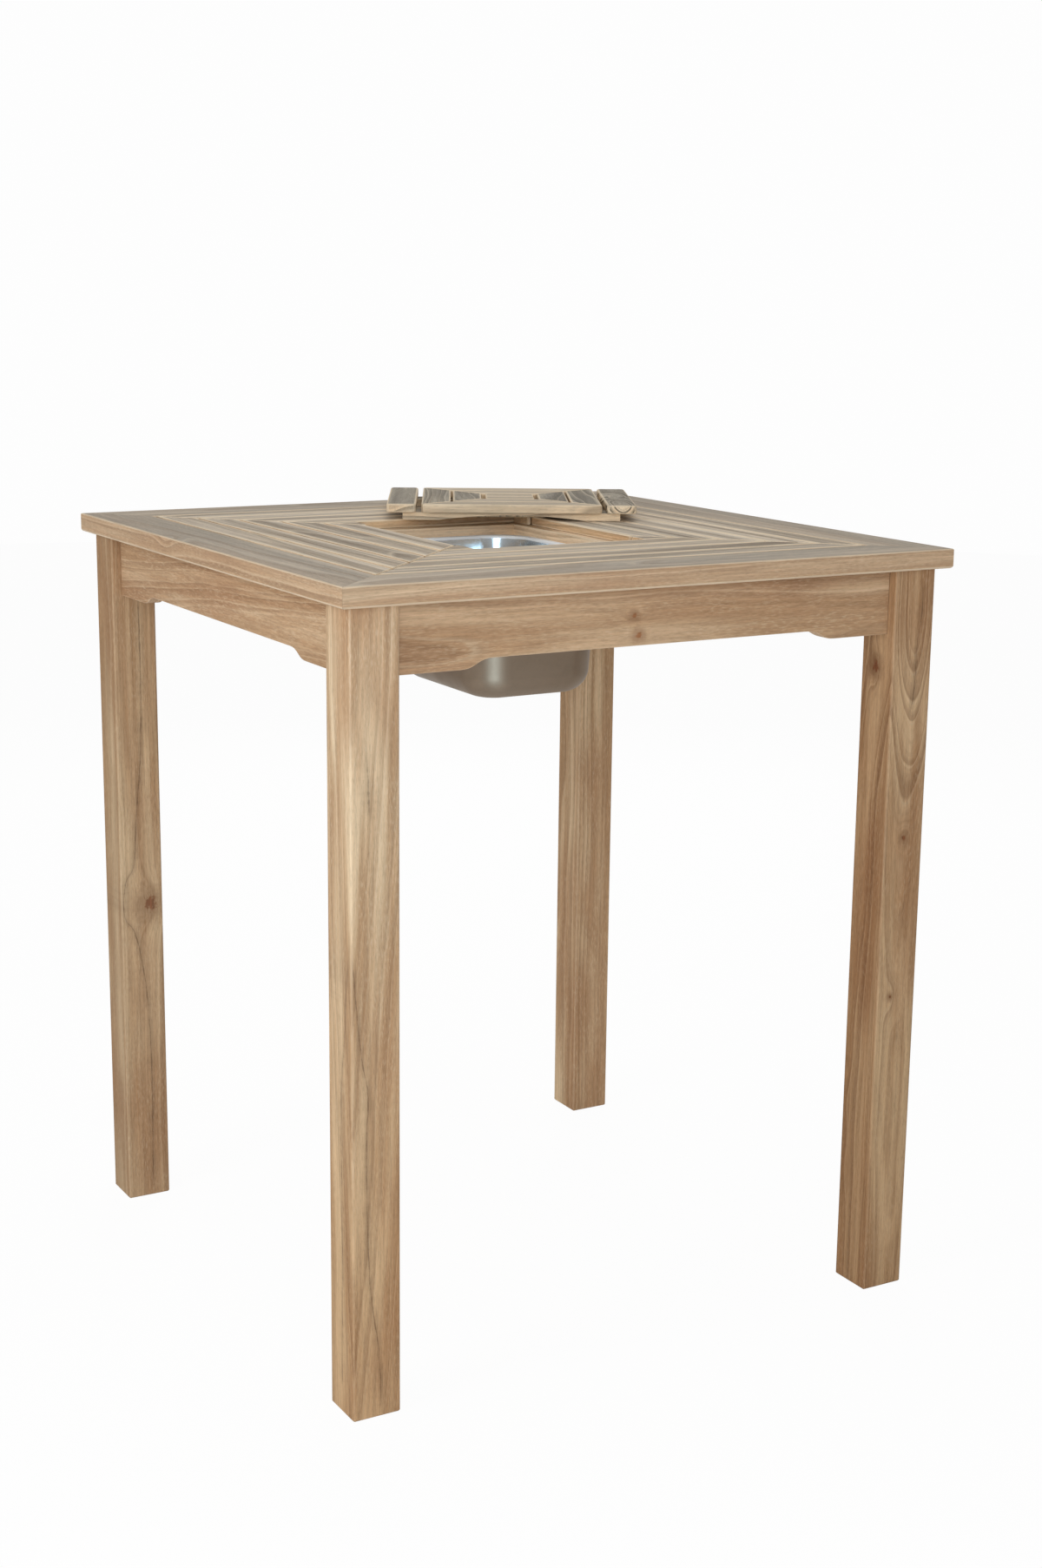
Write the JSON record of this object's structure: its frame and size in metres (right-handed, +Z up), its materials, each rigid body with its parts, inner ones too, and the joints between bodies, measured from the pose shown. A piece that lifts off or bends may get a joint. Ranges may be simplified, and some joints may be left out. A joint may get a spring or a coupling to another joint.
{
  "type": "bar table",
  "caption": "Square slatted teak bar table with a lift-out steel ice bucket in its top and a loose slatted lid.",
  "frame": {"origin": "on the floor under the middle of the table top", "axes": "+Z up, -Y towards the front side, +X to the right; the bucket's long side lies along Y"},
  "size_m": [0.889, 0.889, 1.0651],
  "materials": {
    "leg_teak": "planed teak, dry and slightly weathered",
    "apron_teak": "planed teak, dry and slightly weathered",
    "frame_teak": "planed teak, grey on top and warmer on its edge",
    "slat_teak": "weathered teak, grey-beige with pale arrises",
    "inner_teak": "unweathered teak",
    "lid_teak": "weathered teak, dark grey tops with pale arrises",
    "bucket_steel": "satin stainless steel"
  },
  "bodies": {
    "table": {"apron_back": "apron_teak", "apron_front": "apron_teak", "apron_left": "apron_teak", "apron_right": "apron_teak", "corner_stub_back_left": "slat_teak", "corner_stub_back_right": "slat_teak", "corner_stub_front_left": "slat_teak", "corner_stub_front_right": "slat_teak", "cross_rail_back": "inner_teak", "cross_rail_front": "inner_teak", "diagonal_cleat_back_left": "inner_teak", "diagonal_cleat_back_right": "inner_teak", "diagonal_cleat_front_left": "inner_teak", "diagonal_cleat_front_right": "inner_teak", "frame_board_back": "frame_teak", "frame_board_front": "frame_teak", "frame_board_left": "frame_teak", "frame_board_right": "frame_teak", "leg_back_left": "leg_teak", "leg_back_right": "leg_teak", "leg_front_left": "leg_teak", "leg_front_right": "leg_teak", "long_bearer_left": "inner_teak", "long_bearer_right": "inner_teak", "side_bearer_left": "inner_teak", "side_bearer_right": "inner_teak", "slat_back_1": "slat_teak", "slat_back_2": "slat_teak", "slat_back_3": "slat_teak", "slat_back_4": "slat_teak", "slat_front_1": "slat_teak", "slat_front_2": "slat_teak", "slat_front_3": "slat_teak", "slat_front_4": "slat_teak", "slat_left_1": "slat_teak", "slat_left_2": "slat_teak", "slat_left_3": "slat_teak", "slat_left_4": "slat_teak", "slat_left_5": "slat_teak", "slat_right_1": "slat_teak", "slat_right_2": "slat_teak", "slat_right_3": "slat_teak", "slat_right_4": "slat_teak", "slat_right_5": "slat_teak"},
    "bucket": {"ice_bucket": "bucket_steel"},
    "lid": {"lid_batten_back": "lid_teak", "lid_batten_front": "lid_teak", "lid_centre_back": "lid_teak", "lid_centre_front": "lid_teak", "lid_cross_batten": "lid_teak", "lid_end_left": "lid_teak", "lid_end_right": "lid_teak", "lid_slat_back_1": "lid_teak", "lid_slat_back_2": "lid_teak", "lid_slat_front_1": "lid_teak", "lid_slat_front_2": "lid_teak", "lid_slat_left_1": "lid_teak", "lid_slat_left_2": "lid_teak", "lid_slat_right_1": "lid_teak", "lid_slat_right_2": "lid_teak"}
  },
  "joints": [
    {"name": "bucket_lift", "type": "slide", "parent": "table", "child": "bucket", "axis": [0, 0, 1], "range_m": [0, 0.22]},
    {"name": "lid_lift", "type": "slide", "parent": "bucket", "child": "lid", "axis": [0, 0, 1], "range_m": [0, 0.15]}
  ]
}
